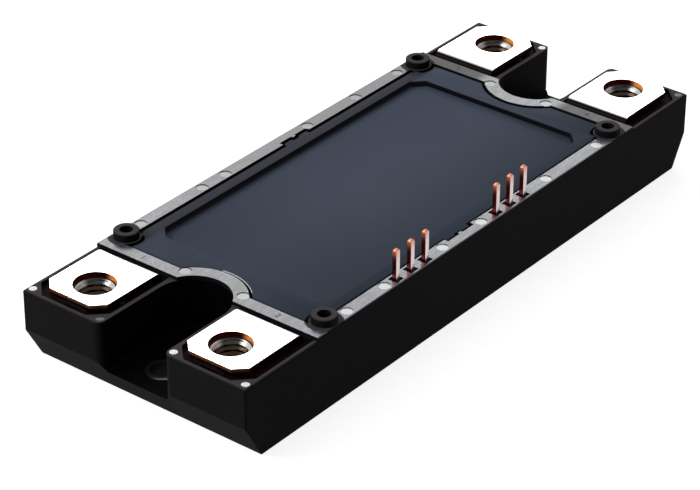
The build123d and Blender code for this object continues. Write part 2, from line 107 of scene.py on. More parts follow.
class Finish:
    # the node tree of a material or the world, with one method that adds any node
    def __init__(self, owner, coords="Object"):
        owner.use_nodes = True
        self.owner = owner
        self.tree = owner.node_tree
        self.tree.nodes.clear()
        self.coords = self.node("ShaderNodeTexCoord", {}, {}, coords)

    def node(self, kind, settings, sockets, output=0):
        made = self.tree.nodes.new(kind)
        for key, value in settings.items():
            setattr(made, key, value)
        for key, value in sockets.items():
            if isinstance(value, Signal):
                self.tree.links.new(value.socket, made.inputs[key])
            elif isinstance(value, tuple) and len(made.inputs[key].default_value) == 4:
                made.inputs[key].default_value = (*value, 1.0)
            else:
                made.inputs[key].default_value = value
        return Signal(self, made.outputs[output]) if made.outputs else None

    def math(self, operation, first, second):
        return self.node("ShaderNodeMath", {"operation": operation}, {0: first, 1: second})

    def mix(self, factor, first, second):
        # colours: the first where the factor is 0, the second where it is 1
        settings = {"data_type": "RGBA", "clamp_factor": True}
        return self.node("ShaderNodeMix", settings, {0: factor, 6: first, 7: second}, 2)

    def noise(self, grainSize, detail=3.0, stretch=(1.0, 1.0, 1.0)):
        # grainSize is the width of one grain in metres
        place = self.node("ShaderNodeMapping", {}, {"Vector": self.coords, "Scale": stretch})
        sockets = {"Vector": place, "Scale": 1.0 / grainSize, "Detail": detail}
        return self.node("ShaderNodeTexNoise", {}, sockets)

    def rise(self, value, low, high):
        # goes smoothly from 0 at low to 1 at high, and falls where low is the larger
        sockets = {"Value": value, "From Min": low, "From Max": high}
        return self.node("ShaderNodeMapRange", {"interpolation_type": "SMOOTHSTEP"}, sockets)

    def between(self, value, low, high):
        return (value > low) * (value < high)

    def within(self, awayX, awayY, radius):
        # 1 nearer than radius to an upright axis, 0 elsewhere
        return (awayX * awayX + awayY * awayY) < radius ** 2

    def place(self, axis):
        return self.node("ShaderNodeSeparateXYZ", {}, {0: self.coords}, axis)

    def facing(self, axis):
        normal = self.node("ShaderNodeNewGeometry", {}, {}, "Normal")
        return self.node("ShaderNodeSeparateXYZ", {}, {0: normal}, axis)

    def leftward(self):
        # how far a wall faces the photograph's left side, -1 to 1
        return photoLeft[0] * self.facing("X") + photoLeft[1] * self.facing("Y")

    def bump(self, height, depth, edge=0.0):
        # depth in metres; edge is the radius that light sees on sharp edges
        sockets = {"Strength": 1.0, "Distance": depth, "Height": height}
        if edge:
            settings = {"samples": edgeSamples}
            sockets["Normal"] = self.node("ShaderNodeBevel", settings, {"Radius": edge})
        return self.node("ShaderNodeBump", {}, sockets)

    def surface(self, sockets):
        return self.node("ShaderNodeBsdfPrincipled", {}, sockets)

    def blend(self, factor, first, second):
        return self.node("ShaderNodeMixShader", {}, {0: factor, 1: first, 2: second})

    def close(self, shader, output="ShaderNodeOutputMaterial"):
        self.node(output, {}, {"Surface": shader})
        return self.owner


def newFinish(name):
    return Finish(bpy.data.materials.new(name))


# Pieces made here, in place of a CAD node or beside it

softening = {
    "weldDistance": 0.001 * mm,
    "flatAngle": math.radians(1),
    "sharpAngle": math.radians(30),
    "shadingAngle": math.radians(40),
    "roundProfile": 0.5,
}


def inScene(name, data):
    made = bpy.data.objects.new(name, data)
    bpy.context.scene.collection.objects.link(made)
    return made


def ridingPiece(piece, slotName, *replaced):
    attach(piece, "root")
    if replaced:
        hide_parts(*replaced)


def meshPiece(name, points, faces, finish):
    mesh = bpy.data.meshes.new(name)
    mesh.from_pydata(points, [], faces)
    mesh.materials.append(finish)
    return inScene(name, mesh)


def softenedCopy(name, finish, radius, segments, reshape=None):
    # the node's own shape with every sharp edge rounded
    form = bmesh.new()
    form.from_mesh(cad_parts[name].data)
    bmesh.ops.remove_doubles(form, verts=form.verts, dist=softening["weldDistance"])
    bmesh.ops.dissolve_limit(form, angle_limit=softening["flatAngle"],
                             verts=form.verts, edges=form.edges)
    if reshape:
        reshape(form)
    sharp = [
        edge for edge in form.edges
        if edge.is_manifold and edge.calc_face_angle() > softening["sharpAngle"]
    ]
    bmesh.ops.bevel(form, geom=sharp, offset=radius, segments=segments,
                    profile=softening["roundProfile"], affect="EDGES", clamp_overlap=True)
    for face in form.faces:
        face.smooth = True
        face.material_index = 0
    mesh = bpy.data.meshes.new(name + "_softened")
    form.to_mesh(mesh)
    form.free()
    mesh.materials.append(finish)
    mesh.set_sharp_from_angle(angle=softening["shadingAngle"])
    return inScene(name + "_softened", mesh)


def ringBand(first, second, count):
    # the faces between two rings of points, given by the number of each ring's first point
    faces = []
    for step in range(count):
        nextStep = (step + 1) % count
        faces.append((first + step, first + nextStep, second + nextStep, second + step))
    return faces


# Some finishes below carry light and dark places that the photograph shows. They are set by
# a piece's own places and normals, so they stay put on the piece when it is seen from elsewhere.

# Housing: black moulded plastic with grained walls

housingLook = {
    "wallColour": (0.0033, 0.0033, 0.0034),
    "endPaintedLight": (0.0086, 0.0086, 0.0087),
    "endFacing": (0.5, 0.95),
    "underFacing": (0.15, 0.4),
    "underShade": 0.6,
    "slotPaintedShade": (0.0008, 0.0005, 0.0005),
    "slotHalfWidth": 8.6 * mm,
    "topPaintedSheen": (0.052, 0.045, 0.047),
    "topHeight": 16.8 * mm,
    "topFacing": (0.55, 0.9),
    "pocketPaintedReflection": (0.012, 0.004, 0.004),
    "pocketHeight": 16.1 * mm,
    "pocketBand": 0.3 * mm,
    "roughness": 0.6,
    "specular": 0.025,
    "edge": 0.15 * mm,
    "grain": 0.22 * mm,
    "grainDepth": 0.03 * mm,
    "grainRoughness": 0.12,
    "cloud": 9 * mm,
    "cloudShade": 0.3,
}

# the raised rail is polished, but for its dull stretches, and so are the round marks sunk in it; the
# rail's pale colour is a painted reflection and the marks' paler colour a painted highlight
railLook = {
    "colour": (0.095, 0.100, 0.132),
    "dull": (0.022, 0.022, 0.029),
    "height": 17.8 * mm,
    "tolerance": 0.04 * mm,
    "roughness": 0.16,
    "specular": 0.54,
    "edge": 0.1 * mm,
    "flow": 1.4 * mm,
    "flowStretch": (0.3, 1.0, 1.0),
    "flowLimits": (0.35, 0.7),
    "speck": 0.5 * mm,
    "speckDepth": 0.006 * mm,
    "speckLimits": (0.42, 0.7),
    "speckShade": 0.6,
    "speckRoughness": 0.16,
    "markPaintedHighlight": (0.42, 0.42, 0.44),
    "markPaintedHighlightDim": (0.21, 0.21, 0.23),
    "markDepth": 0.15 * mm,
    "markFade": (-20 * mm, 0.0),
    "leftFade": (0.0, 20 * mm),
    "farFade": (-55 * mm, 30 * mm),
    "leftAndFarPaintedShadeLoss": 0.25,
    "farEndX": (46 * mm, 50 * mm),
    "farEndY": (9 * mm, 12 * mm),
    "farEndPaintedShadeLoss": 0.65,
    "standoffX": 48.7 * mm,
    "standoffY": 25.7 * mm,
    "standoffReach": 3.9 * mm,
}


def wallSurface(finish, up, height):
    look = housingLook
    grain = finish.noise(look["grain"])
    cloud = finish.noise(look["cloud"], detail=2.0)
    # faces turned to either end get painted light
    ends = finish.rise(abs(finish.facing("X")), *look["endFacing"])
    wall = finish.mix(ends, look["wallColour"], look["endPaintedLight"])
    under = finish.rise(-finish.facing("Z"), *look["underFacing"])
    wall = finish.mix(look["underShade"] * under, wall, black)
    # painted shade inside the slots
    inSlot = (abs(finish.place("Y")) < look["slotHalfWidth"]) * (height < look["topHeight"])
    wall = finish.mix(inSlot, wall, look["slotPaintedShade"])
    # a painted sheen makes the tops lighter than the walls
    wall = finish.mix(up * (height > look["topHeight"]), wall, look["topPaintedSheen"])
    # the pocket floor under the terminals gets a painted reddish reflection of the copper
    pocketLow = look["pocketHeight"] - look["pocketBand"]
    pocketHigh = look["pocketHeight"] + look["pocketBand"]
    inPocket = up * finish.between(height, pocketLow, pocketHigh)
    wall = finish.mix(inPocket, wall, look["pocketPaintedReflection"])
    return finish.surface({
        "Base Color": finish.mix(look["cloudShade"] * cloud, wall, black),
        "Roughness": look["roughness"] + look["grainRoughness"] * grain,
        "Specular IOR Level": look["specular"],
        "Normal": finish.bump(grain, look["grainDepth"], look["edge"]),
    })


def railSurface(finish, inMark, leftAndFarPaintedShade):
    look = railLook
    flow = finish.noise(look["flow"], detail=4.0, stretch=look["flowStretch"])
    colour = finish.mix(finish.rise(flow, *look["flowLimits"]), look["colour"], look["dull"])
    speck = finish.noise(look["speck"])
    specks = look["speckShade"] * finish.rise(speck, *look["speckLimits"])
    colour = finish.mix(specks, colour, look["dull"])
    # painted shade on the left and far stretches
    colour = finish.mix(leftAndFarPaintedShade, colour, look["dull"])
    # the marks' painted highlight is dimmer towards the left side
    markFade = finish.rise(finish.place("Y"), *look["markFade"])
    markPaintedHighlight = finish.mix(markFade, look["markPaintedHighlight"], look["markPaintedHighlightDim"])
    return finish.surface({
        "Base Color": finish.mix(inMark, colour, markPaintedHighlight),
        "Roughness": look["roughness"] + look["speckRoughness"] * speck,
        "Specular IOR Level": look["specular"],
        "Normal": finish.bump(speck, look["speckDepth"], look["edge"]),
    })


def housingFinish():
    look = railLook
    finish = newFinish("housing_plastic_look")
    placeX = finish.place("X")
    placeY = finish.place("Y")
    height = finish.place("Z")
    up = finish.rise(finish.facing("Z"), *housingLook["topFacing"])
    bottom = look["height"] - look["markDepth"] - look["tolerance"]
    onRail = up * finish.between(height, bottom, look["height"] + look["tolerance"])
    inMark = finish.between(height, bottom, look["height"] - look["markDepth"] / 2)
    # painted shade: the rail is duller towards the left and the far side, and on the far end rail
    leftAndFarPaintedShade = finish.rise(placeY, *look["leftFade"]) * finish.rise(placeX, *look["farFade"])
    farEndPaintedShade = finish.rise(placeX, *look["farEndX"]) * finish.rise(abs(placeY), *look["farEndY"])
    # painted shade: around each standoff the rail takes the wall's finish
    awayX = abs(placeX) - look["standoffX"]
    awayY = abs(placeY) - look["standoffY"]
    paintedReflectionShare = 1.0 - finish.within(awayX, awayY, look["standoffReach"])
    paintedReflectionShare = paintedReflectionShare * (1.0 - look["farEndPaintedShadeLoss"] * farEndPaintedShade)
    paintedReflectionShare = paintedReflectionShare * (1.0 - look["leftAndFarPaintedShadeLoss"] * leftAndFarPaintedShade)
    wall = wallSurface(finish, up, height)
    rail = railSurface(finish, inMark, leftAndFarPaintedShade)
    return finish.close(finish.blend(onRail * paintedReflectionShare, wall, rail))


# Lid: matte blue-grey moulding with a shallow recess

lidLook = {
    "colour": (0.051, 0.060, 0.089),
    "worn": (0.038, 0.046, 0.067),
    "shaded": (0.012, 0.018, 0.026),
    "rightShade": 0.68,
    "rightReach": (-6 * mm, 26 * mm),
    "nearShade": 0.3,
    "nearReach": (0.0, 40 * mm),
    "leftRimPaintedShade": (0.030, 0.029, 0.036),
    "leftRimReach": (21.4 * mm, 22.2 * mm),
    "leftRimShade": 0.8,
    "topBand": 0.1 * mm,
    "outerWallPaintedShade": (0.006, 0.006, 0.008),
    "flatFacing": (0.3, 0.6),
    "leftWallPaintedShade": (0.0006, 0.0005, 0.0010),
    "leftWallRise": (0.1 * mm, 0.85 * mm),
    "farWallPaintedShade": (0.0030, 0.0050, 0.0080),
    "farWallRise": (0.0, 0.55 * mm),
    "nearWallPaintedLight": (0.085, 0.097, 0.125),
    "wallFacing": (0.15, 0.4),
    "arcEdgePaintedHighlight": (0.62, 0.62, 0.66),
    "arcStart": 44 * mm,
    "arcReach": (-2 * mm, 8 * mm),
    "arcBand": 0.3 * mm,
    "arcFacing": (0.25, 0.5),
    "roughness": 0.62,
    "specular": 0.04,
    "edge": 0.12 * mm,
    "grain": 0.18 * mm,
    "grainDepth": 0.02 * mm,
    "grainShade": 0.25,
    "grainRoughness": 0.1,
    "cloud": 14 * mm,
    "cloudShade": 0.5,
    "top": 17.6 * mm,
    "recessFloor": 16.2 * mm,
    "recessReach": (46 * mm, 24 * mm),
    "floorInset": (1.5 * mm, 1.0 * mm),
    "brimOutset": (0.4 * mm, 0.8 * mm),
    "levelBand": 0.02 * mm,
    "edgeRadius": 0.22 * mm,
    "edgeSegments": 3,
}


def lidFinish():
    look = lidLook
    finish = newFinish("lid_plastic_look")
    placeX = finish.place("X")
    placeY = finish.place("Y")
    height = finish.place("Z")
    rightward = -placeY
    nearward = -placeX
    grain = finish.noise(look["grain"])
    cloud = finish.noise(look["cloud"], detail=2.0)
    colour = finish.mix(look["cloudShade"] * cloud, look["colour"], look["worn"])
    colour = finish.mix(look["grainShade"] * grain, colour, look["worn"])
    # painted shade towards the right side and the near end
    rightPaintedShade = look["rightShade"] * finish.rise(rightward, *look["rightReach"])
    colour = finish.mix(rightPaintedShade, colour, look["shaded"])
    toNear = look["nearShade"] * finish.rise(nearward, *look["nearReach"])
    colour = finish.mix(toNear, colour, look["shaded"])
    # painted shade along the left rim beside the recess
    onTop = height > look["top"] - look["topBand"]
    leftRimPaintedShade = onTop * finish.rise(placeY, *look["leftRimReach"])
    colour = finish.mix(look["leftRimShade"] * leftRimPaintedShade, colour, look["leftRimPaintedShade"])
    # painted shade on the recess walls at the left and the far end, and painted light on the one at
    # the near end
    reachX, reachY = look["recessReach"]
    inRecess = (abs(placeX) < reachX) * (abs(placeY) < reachY)
    aboveFloor = height - look["recessFloor"]
    leftWallPaintedShade = inRecess * finish.rise(-finish.facing("Y"), *look["wallFacing"])
    leftWallPaintedShade = leftWallPaintedShade * finish.rise(aboveFloor, *look["leftWallRise"])
    colour = finish.mix(leftWallPaintedShade, colour, look["leftWallPaintedShade"])
    farWallPaintedShade = inRecess * finish.rise(-finish.facing("X"), *look["wallFacing"])
    farWallPaintedShade = farWallPaintedShade * finish.rise(aboveFloor, *look["farWallRise"])
    colour = finish.mix(farWallPaintedShade, colour, look["farWallPaintedShade"])
    nearWallPaintedLight = inRecess * finish.rise(finish.facing("X"), *look["wallFacing"])
    colour = finish.mix(nearWallPaintedLight, colour, look["nearWallPaintedLight"])
    # the edge along the near slot's arc gets a painted highlight
    onArc = (nearward > look["arcStart"]) * finish.between(rightward, *look["arcReach"])
    onArc = onArc * (height > look["top"] - look["arcBand"])
    onArc = onArc * finish.rise(-finish.facing("X"), *look["arcFacing"])
    colour = finish.mix(onArc, colour, look["arcEdgePaintedHighlight"])
    # painted shade on walls that don't face up
    flat = finish.rise(finish.facing("Z"), *look["flatFacing"])
    return finish.close(finish.surface({
        "Base Color": finish.mix(flat, look["outerWallPaintedShade"], colour),
        "Roughness": look["roughness"] + look["grainRoughness"] * grain,
        "Specular IOR Level": look["specular"],
        "Normal": finish.bump(grain, look["grainDepth"], look["edge"]),
    }))


# Terminals: copper sheet, plated on its top and bare where it was cut, with painted shade at the bend
# and on the cut edges and painted light in the holes

terminalLook = {
    "plate": (0.93, 0.925, 0.91),
    "plateFacing": (0.80, 0.97),
    "copper": (0.52, 0.19, 0.10),
    "tarnish": (0.13, 0.045, 0.025),
    "underside": (0.030, 0.016, 0.010),
    "undersideHeight": (17.75 * mm, 17.55 * mm),
    "rightFacing": (0.5, 0.9),
    "bendPaintedShade": (0.0025, 0.0016, 0.0016),
    "bendEnd": 57.0 * mm,
    "holePaintedLight": (1.0, 0.34, 0.07),
    "holePaintedShade": (0.16, 0.020, 0.010),
    "holeFacing": (0.35, 0.75),
    "holeX": 66.93 * mm,
    "holeY": 17.57 * mm,
    "holeReach": 4.6 * mm,
    "roughness": 0.30,
    "platePolish": 0.1,
    "edge": 0.1 * mm,
    "scratch": 0.5 * mm,
    "scratchStretch": (0.15, 1.0, 1.0),
    "scratchDepth": 0.003 * mm,
    "scratchRoughness": 0.1,
    "cloud": 1.2 * mm,
}


def terminalFinish():
    look = terminalLook
    finish = newFinish("terminal_metal_look")
    plated = finish.rise(finish.facing("Z"), *look["plateFacing"])
    fromMiddle = abs(finish.place("X"))
    awayX = fromMiddle - look["holeX"]
    awayY = abs(finish.place("Y")) - look["holeY"]
    inHole = finish.within(awayX, awayY, look["holeReach"])
    scratch = finish.noise(look["scratch"], stretch=look["scratchStretch"])
    cloud = finish.noise(look["cloud"])
    copper = finish.mix(cloud, look["copper"], look["tarnish"])
    # painted shade on the lower part of the cut edges and on edges that face right
    low = finish.rise(finish.place("Z"), *look["undersideHeight"])
    copper = finish.mix(low, copper, look["underside"])
    rightPaintedShade = finish.rise(-finish.facing("Y"), *look["rightFacing"])
    copper = finish.mix(rightPaintedShade, copper, look["underside"])
    # painted shade on the hole walls, and a painted orange glow of bounced light on the walls that
    # face left
    holeWallPaintedLight = inHole * (1.0 - plated) * finish.rise(finish.leftward(), *look["holeFacing"])
    copper = finish.mix(inHole, copper, look["holePaintedShade"])
    copper = finish.mix(holeWallPaintedLight, copper, look["holePaintedLight"])
    # painted shade at the bends
    copper = finish.mix(fromMiddle < look["bendEnd"], copper, look["bendPaintedShade"])
    roughness = look["roughness"] - look["platePolish"] * plated
    return finish.close(finish.surface({
        "Base Color": finish.mix(plated, copper, look["plate"]),
        "Metallic": 1.0 - holeWallPaintedLight,
        "Roughness": roughness + look["scratchRoughness"] * scratch,
        "Normal": finish.bump(scratch, look["scratchDepth"], look["edge"]),
    }))


# Plain metals, and the steel bushings in the slot floors

metalLooks = {
    "nickel_plate": {"colour": (0.58, 0.56, 0.52), "dark": (0.42, 0.40, 0.37), "roughness": 0.34},
    "bare_copper": {"colour": (0.72, 0.31, 0.18), "dark": (0.42, 0.15, 0.08), "roughness": 0.3},
    "solder": {"colour": (0.55, 0.55, 0.56), "dark": (0.38, 0.38, 0.39), "roughness": 0.42},
    "die_metal": {"colour": (0.50, 0.50, 0.47), "dark": (0.33, 0.34, 0.32), "roughness": 0.22},
    "aluminium_wire": {"colour": (0.82, 0.82, 0.83), "dark": (0.66, 0.66, 0.67), "roughness": 0.28},
}

brushLook = {
    "cloud": 1.8 * mm,
    "brush": 0.4 * mm,
    "stretch": (0.2, 1.0, 1.0),
    "depth": 0.004 * mm,
    "roughness": 0.12,
    "edge": 0.08 * mm,
}

# the near bushing is painted dark as shade, with a painted highlight arc on its front side
bushingLook = {
    "paintedShadeDark": (0.014, 0.0135, 0.014),
    "bright": (0.11, 0.11, 0.115),
    "roughness": 0.42,
    "middleX": -67.0 * mm,
    "arcReach": (2.75 * mm, 3.5 * mm),
}


def brushedMetal(finish, colour, roughness):
    look = brushLook
    brush = finish.noise(look["brush"], detail=2.0, stretch=look["stretch"])
    return finish.close(finish.surface({
        "Base Color": colour,
        "Metallic": 1.0,
        "Roughness": roughness + look["roughness"] * brush,
        "Normal": finish.bump(brush, look["depth"], look["edge"]),
    }))


def metalFinish(kind):
    look = metalLooks[kind]
    finish = newFinish(kind + "_look")
    cloud = finish.noise(brushLook["cloud"])
    return brushedMetal(finish, finish.mix(cloud, look["colour"], look["dark"]), look["roughness"])


def bushingFinish():
    look = bushingLook
    finish = newFinish("bushing_steel_look")
    awayX = finish.place("X") - look["middleX"]
    frontward = photoFront[0] * awayX + photoFront[1] * finish.place("Y")
    arc = finish.rise(frontward, *look["arcReach"])
    return brushedMetal(finish, finish.mix(arc, look["paintedShadeDark"], look["bright"]), look["roughness"])


# Sealed inner pieces that aren't metal

innerLooks = {
    "ceramic": {
        "colour": (0.80, 0.80, 0.76), "dark": (0.70, 0.70, 0.66), "roughness": 0.5, "alpha": 1.0,
    },
    "chip_body": {
        "colour": (0.03, 0.03, 0.032), "dark": (0.015, 0.015, 0.016), "roughness": 0.45, "alpha": 1.0,
    },
    "clear_gel": {
        "colour": (0.75, 0.78, 0.80), "dark": (0.68, 0.72, 0.76), "roughness": 0.12, "alpha": 0.35,
    },
}

innerGrain = {"size": 0.6 * mm, "depth": 0.004 * mm, "roughness": 0.1}


def innerFinish(kind):
    look = innerLooks[kind]
    finish = newFinish(kind + "_look")
    grain = finish.noise(innerGrain["size"])
    return finish.close(finish.surface({
        "Base Color": finish.mix(grain, look["colour"], look["dark"]),
        "Roughness": look["roughness"] + innerGrain["roughness"] * grain,
        "Alpha": look["alpha"],
        "Normal": finish.bump(grain, innerGrain["depth"]),
    }))


# Finishes on the CAD nodes

lidPlastic = lidFinish()
copperFinish = metalFinish("bare_copper")
dieFinish = metalFinish("die_metal")
aluminiumFinish = metalFinish("aluminium_wire")
bushingSteel = bushingFinish()
plateFinish = terminalFinish()
housingPlastic = housingFinish()
chipFinish = innerFinish("chip_body")

finishOf = {
    "housing": housingPlastic,
    "lid": lidPlastic,
    "base_plate": metalFinish("nickel_plate"),
    "mounting_bushing_near": bushingSteel,
    "mounting_bushing_far": bushingSteel,
    "positive_terminal": plateFinish,
    "negative_terminal": plateFinish,
    "output_left_terminal": plateFinish,
    "output_right_terminal": plateFinish,
    "solder_sheets": metalFinish("solder"),
    "tile_back_copper": copperFinish,
    "ceramic_tiles": innerFinish("ceramic"),
    "circuit_copper": copperFinish,
    "upper_mosfet_dies": dieFinish,
    "lower_mosfet_dies": dieFinish,
    "upper_diode_dies": dieFinish,
    "lower_diode_dies": dieFinish,
    "upper_ribbon_bonds": aluminiumFinish,
    "lower_ribbon_bonds": aluminiumFinish,
    "tile_links": copperFinish,
    "signal_wires": aluminiumFinish,
    "gate_resistors": chipFinish,
    "thermistor": chipFinish,
    "silicone_gel": innerFinish("clear_gel"),
}
for name, nodeFinish in finishOf.items():
    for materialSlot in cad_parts[name].material_slots:
        materialSlot.material = nodeFinish
print("finishes on CAD nodes:", len(finishOf))


# Lid shape: the recess gets sloped walls and every edge is rounded

def slopeRecess(form):
    # draws the recess floor in and its brim out, so that the walls lean as moulded walls do
    look = lidLook
    reachX, reachY = look["recessReach"]
    for corner in form.verts:
        if abs(corner.co.x) > reachX or abs(corner.co.y) > reachY:
            continue
        if abs(corner.co.z - look["recessFloor"]) < look["levelBand"]:
            outset = [-inset for inset in look["floorInset"]]
        elif abs(corner.co.z - look["top"]) < look["levelBand"]:
            outset = look["brimOutset"]
        else:
            continue
        corner.co.x += math.copysign(outset[0], corner.co.x)
        corner.co.y += math.copysign(outset[1], corner.co.y)


softLid = softenedCopy("lid", lidPlastic, lidLook["edgeRadius"], lidLook["edgeSegments"], slopeRecess)
ridingPiece(softLid, "lid_plastic", "lid")
print("lid recess sloped and edges rounded")


# Signal pins: stamped from plated sheet, so the broad faces are pale and the cut edges bare; the cut
# edges are also darkened as painted shade and the broad faces carry a painted reflection

pinLook = {
    "plated": (0.66, 0.61, 0.60),
    "bareCopperAndPaintedShade": (0.22, 0.030, 0.028),
    "tipCopper": (0.72, 0.27, 0.16),
    "tipHeight": (21.8 * mm, 24.6 * mm),
    "broadFacing": (0.55, 0.85),
    "tipLossOnBroad": 0.6,
    "roughness": 0.2,
    "tipRoughness": 0.25,
    "drawn": 0.3 * mm,
    "drawnStretch": (1.0, 1.0, 0.08),
    "drawnDepth": 0.004 * mm,
    "drawnShade": 0.35,
    "drawnRoughness": 0.14,
    "edgeRadius": 0.3 * mm,
    "edgeSegments": 4,
}


def pinFinish():
    look = pinLook
    finish = newFinish("pin_copper_look")
    tip = finish.rise(finish.place("Z"), *look["tipHeight"])
    broad = finish.rise(abs(finish.facing("Y")), *look["broadFacing"])
    drawn = finish.noise(look["drawn"], stretch=look["drawnStretch"])
    colour = finish.mix(broad, look["bareCopperAndPaintedShade"], look["plated"])
    colour = finish.mix(tip * (1.0 - look["tipLossOnBroad"] * broad), colour, look["tipCopper"])
    roughness = look["roughness"] + look["tipRoughness"] * tip
    return finish.close(finish.surface({
        "Base Color": finish.mix(look["drawnShade"] * drawn, colour, look["bareCopperAndPaintedShade"]),
        "Metallic": 1.0,
        "Roughness": roughness + look["drawnRoughness"] * drawn,
        "Normal": finish.bump(drawn, look["drawnDepth"]),
    }))


pinCopper = pinFinish()
for name in list(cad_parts):
    if name.startswith("signal_pin_"):
        pin = softenedCopy(name, pinCopper, pinLook["edgeRadius"], pinLook["edgeSegments"])
        ridingPiece(pin, "pin_copper", name)
print("pins rounded")


# Threaded nuts, seen through the terminal holes

nutLook = {
    "mouthPaintedLight": (0.80, 0.76, 0.74),
    "shade": (0.050, 0.052, 0.050),
    "threadPaintedShade": (0.055, 0.038, 0.026),
    "paintedShadeDark": (0.018, 0.012, 0.012),
    "silverDepth": (1.3 * mm, 0.78 * mm),
    "silverFacing": (0.3, 0.65),
    "silverMetalLoss": 0.8,
    "paintedShadeReach": 5.0 * mm,
    "roughness": 0.3,
    "cloud": 0.9 * mm,
    "cloudDepth": 0.006 * mm,
    "cloudShade": 0.4,
    "cloudRoughness": 0.14,
    "crestRadius": 3.4 * mm,
    "threadDepth": 0.5 * mm,
    "pitch": 1.25 * mm,
    "washerRadius": 6.2 * mm,
    "chamferSlope": 0.5,
    "sinkRadius": 4.0 * mm,
    "steps": 72,
    "ringsPerPitch": 8,
}


def nutFinish(name):
    look = nutLook
    low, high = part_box(name)
    finish = newFinish(name + "_look")
    awayX = finish.place("X") - (low[0] + high[0]) / 2
    awayY = finish.place("Y") - (low[1] + high[1]) / 2
    # painted shade down the thread and near the bore, and painted light on the mouth's sides
    nearBorePaintedShade = finish.within(awayX, awayY, look["paintedShadeReach"])
    cloud = finish.noise(look["cloud"])
    sides = finish.rise(abs(finish.leftward()), *look["silverFacing"])
    atMouth = finish.rise(high[2] - finish.place("Z"), *look["silverDepth"])
    mouth = finish.mix(sides, look["shade"], look["mouthPaintedLight"])
    colour = finish.mix(atMouth, look["threadPaintedShade"], mouth)
    colour = finish.mix(nearBorePaintedShade, look["paintedShadeDark"], colour)
    return finish.close(finish.surface({
        "Base Color": finish.mix(look["cloudShade"] * cloud, colour, look["paintedShadeDark"]),
        "Metallic": 1.0 - look["silverMetalLoss"] * (atMouth * sides),
        "Roughness": look["roughness"] + look["cloudRoughness"] * cloud,
        "Normal": finish.bump(cloud, look["cloudDepth"]),
    }))


def threadedNut(name):
    look = nutLook
    low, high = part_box(name)
    middleX, middleY = (low[0] + high[0]) / 2, (low[1] + high[1]) / 2
    flat = (high[1] - low[1]) / 2
    fullTurn = 2 * math.pi
    angles = [fullTurn * step / look["steps"] for step in range(look["steps"])]

    def ring(radiusAt, heightAt):
        return [
            (middleX + radiusAt(a) * math.cos(a), middleY + radiusAt(a) * math.sin(a), heightAt(a))
            for a in angles
        ]

    def hexRadius(angle):
        turn = (angle - fullTurn / 12) % (fullTurn / 6) - fullTurn / 12
        return flat / math.cos(turn)

    def chamferDrop(angle):
        return max(0.0, hexRadius(angle) - look["washerRadius"]) * look["chamferSlope"]

    def threadRadius(height):
        def radius(angle):
            turn = (height / look["pitch"] + angle / fullTurn) % 1.0
            groove = 1.0 - abs(2.0 * turn - 1.0)
            fromEnd = min(height - low[2], high[2] - height)
            sink = max(0.0, look["sinkRadius"] - look["crestRadius"] - fromEnd)
            return look["crestRadius"] + max(sink, groove * look["threadDepth"])
        return radius

    rings = [
        ring(lambda a: look["washerRadius"], lambda a: high[2]),
        ring(hexRadius, lambda a: high[2] - chamferDrop(a)),
        ring(hexRadius, lambda a: low[2] + chamferDrop(a)),
        ring(lambda a: look["washerRadius"], lambda a: low[2]),
    ]
    ringCount = round((high[2] - low[2]) / look["pitch"] * look["ringsPerPitch"])
    for number in range(ringCount + 1):
        height = low[2] + (high[2] - low[2]) * number / ringCount
        rings.append(ring(threadRadius(height), lambda a, height=height: height))
    # each ring is joined to the next, and the last to the first
    points = [point for oneRing in rings for point in oneRing]
    count = look["steps"]
    faces = []
    for number in range(len(rings)):
        after = (number + 1) % len(rings)
        faces += ringBand(number * count, after * count, count)
    return meshPiece(name + "_threaded", points, faces, nutFinish(name))


for name in list(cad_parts):
    if name.endswith("_nut"):
        ridingPiece(threadedNut(name), "nut_steel", name)
print("nuts threaded")


# Small ejector discs on the corners of the terminal blocks, four with a painted highlight and two
# dull

discLook = {
    "bright": (0.62, 0.62, 0.63),
    "brightSpecular": 0.6,
    "dull": (0.045, 0.045, 0.047),
    "dullSpecular": 0.15,
    "roughness": 0.16,
    "swirl": 0.4 * mm,
    "swirlDepth": 0.003 * mm,
    "swirlShade": 0.4,
    "swirlRoughness": 0.1,
    "endX": 74.3 * mm,
    "innerY": 9.5 * mm,
    "outerY": 27.4 * mm,
    "height": 17.0 * mm,
    "radius": 0.85 * mm,
    "crown": 0.04 * mm,
    # each ring's share of the radius and of the crown
    "rings": ((0.6, 0.8), (0.9, 0.5), (1.0, 0.0)),
    "steps": 32,
}

# name: end, side, row and finish; two far corners show no disc in the photograph
discPlaces = {
    "ejector_disc_near_left_outer": (-1, 1, "outerY", "bright"),
    "ejector_disc_near_left_inner": (-1, 1, "innerY", "dull"),
    "ejector_disc_near_right_inner": (-1, -1, "innerY", "bright"),
    "ejector_disc_near_right_outer": (-1, -1, "outerY", "bright"),
    "ejector_disc_far_left_inner": (1, 1, "innerY", "bright"),
    "ejector_disc_far_right_outer": (1, -1, "outerY", "dull"),
}


def discFinish(kind):
    look = discLook
    finish = newFinish("ejector_disc_%s_look" % kind)
    swirl = finish.noise(look["swirl"])
    return finish.close(finish.surface({
        "Base Color": finish.mix(look["swirlShade"] * swirl, look[kind], look["dull"]),
        "Roughness": look["roughness"] + look["swirlRoughness"] * swirl,
        "Specular IOR Level": look[kind + "Specular"],
        "Normal": finish.bump(swirl, look["swirlDepth"]),
    }))


